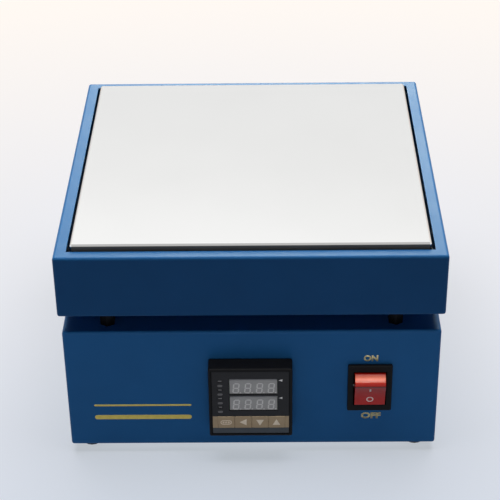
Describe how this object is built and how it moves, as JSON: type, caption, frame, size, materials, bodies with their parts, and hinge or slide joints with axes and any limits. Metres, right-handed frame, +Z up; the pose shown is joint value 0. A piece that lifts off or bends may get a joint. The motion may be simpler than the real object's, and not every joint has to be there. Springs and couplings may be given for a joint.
{
  "type": "desoldering hot plate",
  "caption": "Square aluminium bench hot plate in a steel head, held on columns above a control case with temperature controller, rocker switch and fused mains inlet.",
  "frame": {"origin": "centre of the bounding box at the level of the bench", "axes": "+X to the right as seen from the front, +Y to the back, +Z up"},
  "size_m": [0.218, 0.2316, 0.1405],
  "materials": {
    "plate_aluminium": "milled and bead blasted, bright and even",
    "heater_sheath": "drawn stainless tube",
    "probe_brass": "turned",
    "fibre_blanket": "mineral wool felt",
    "ceramic": "unglazed steatite",
    "fasteners": "stainless",
    "head_paint": "semi-gloss blue enamel",
    "case_paint": "semi-gloss blue enamel",
    "zinc_sheet": "zinc-plated sheet",
    "zinc_turned": "zinc-plated, turned",
    "columns": "blackened hexagon bar",
    "foot_rubber": "moulded black rubber",
    "controller_plastic": "moulded, fine grain",
    "fascia": "printed film, satin",
    "display": "smoked lens over unlit segments",
    "key_cap": "bronze, satin",
    "circuit_board": "solder mask",
    "switch_plastic": "moulded black",
    "rocker_plastic": "translucent red, polished",
    "inlet_plastic": "moulded black",
    "fuse_glass": "clear tube with metal caps",
    "relay_metal": "plain sheet",
    "relay_plastic": "moulded cream",
    "loom_sleeve": "braided glass-fibre sleeve"
  },
  "bodies": {
    "station": {"heating_plate": "plate_aluminium", "cartridge_heater_1": "heater_sheath", "cartridge_heater_2": "heater_sheath", "cartridge_heater_3": "heater_sheath", "cartridge_heater_4": "heater_sheath", "thermocouple_probe": "probe_brass", "insulation_blanket": "fibre_blanket", "plate_post_1": "ceramic", "plate_post_2": "ceramic", "plate_post_3": "ceramic", "plate_post_4": "ceramic", "plate_screw_1": "fasteners", "plate_screw_2": "fasteners", "plate_screw_3": "fasteners", "plate_screw_4": "fasteners", "head_shell": "head_paint", "head_floor": "zinc_sheet", "wire_conduit": "zinc_turned", "conduit_nut": "zinc_turned", "spacer_column_1": "columns", "spacer_column_2": "columns", "spacer_column_3": "columns", "spacer_column_4": "columns", "column_bolt_1": "fasteners", "column_bolt_2": "fasteners", "column_bolt_3": "fasteners", "column_bolt_4": "fasteners", "case_shell": "case_paint", "bottom_plate": "zinc_sheet", "foot_1": "foot_rubber", "foot_2": "foot_rubber", "foot_3": "foot_rubber", "foot_4": "foot_rubber", "foot_screw_1": "fasteners", "foot_screw_2": "fasteners", "foot_screw_3": "fasteners", "foot_screw_4": "fasteners", "controller_case": "controller_plastic", "controller_fascia": "fascia", "process_display": "display", "setpoint_display": "display", "control_board": "circuit_board", "controller_bracket_upper": "controller_plastic", "controller_bracket_lower": "controller_plastic", "switch_housing": "switch_plastic", "inlet_housing": "inlet_plastic", "inlet_screw_1": "fasteners", "inlet_screw_2": "fasteners", "relay_base": "relay_metal", "relay_body": "relay_plastic", "terminal_block": "ceramic", "heater_loom": "loom_sleeve", "mains_loom": "loom_sleeve"},
    "rocker": {"power_rocker": "rocker_plastic"},
    "set_button": {"key_set": "key_cap"},
    "shift_button": {"key_shift": "key_cap"},
    "down_button": {"key_down": "key_cap"},
    "up_button": {"key_up": "key_cap"},
    "drawer": {"fuse_drawer": "inlet_plastic", "mains_fuse": "fuse_glass"}
  },
  "joints": [
    {"name": "rocker_tilt", "type": "hinge", "parent": "station", "child": "rocker", "pos_m": [0.0678, -0.1039, 0.04825], "axis": [-1, 0, 0], "range_deg": [0, 28]},
    {"name": "set_press", "type": "slide", "parent": "station", "child": "set_button", "axis": [0, 1, 0], "range_m": [0, 0.0005], "stiffness_N_per_m": 400},
    {"name": "shift_press", "type": "slide", "parent": "station", "child": "shift_button", "axis": [0, 1, 0], "range_m": [0, 0.0005], "stiffness_N_per_m": 400},
    {"name": "down_press", "type": "slide", "parent": "station", "child": "down_button", "axis": [0, 1, 0], "range_m": [0, 0.0005], "stiffness_N_per_m": 400},
    {"name": "up_press", "type": "slide", "parent": "station", "child": "up_button", "axis": [0, 1, 0], "range_m": [0, 0.0005], "stiffness_N_per_m": 400},
    {"name": "drawer_slide", "type": "slide", "parent": "station", "child": "drawer", "axis": [0, 1, 0], "range_m": [0, 0.017]}
  ]
}
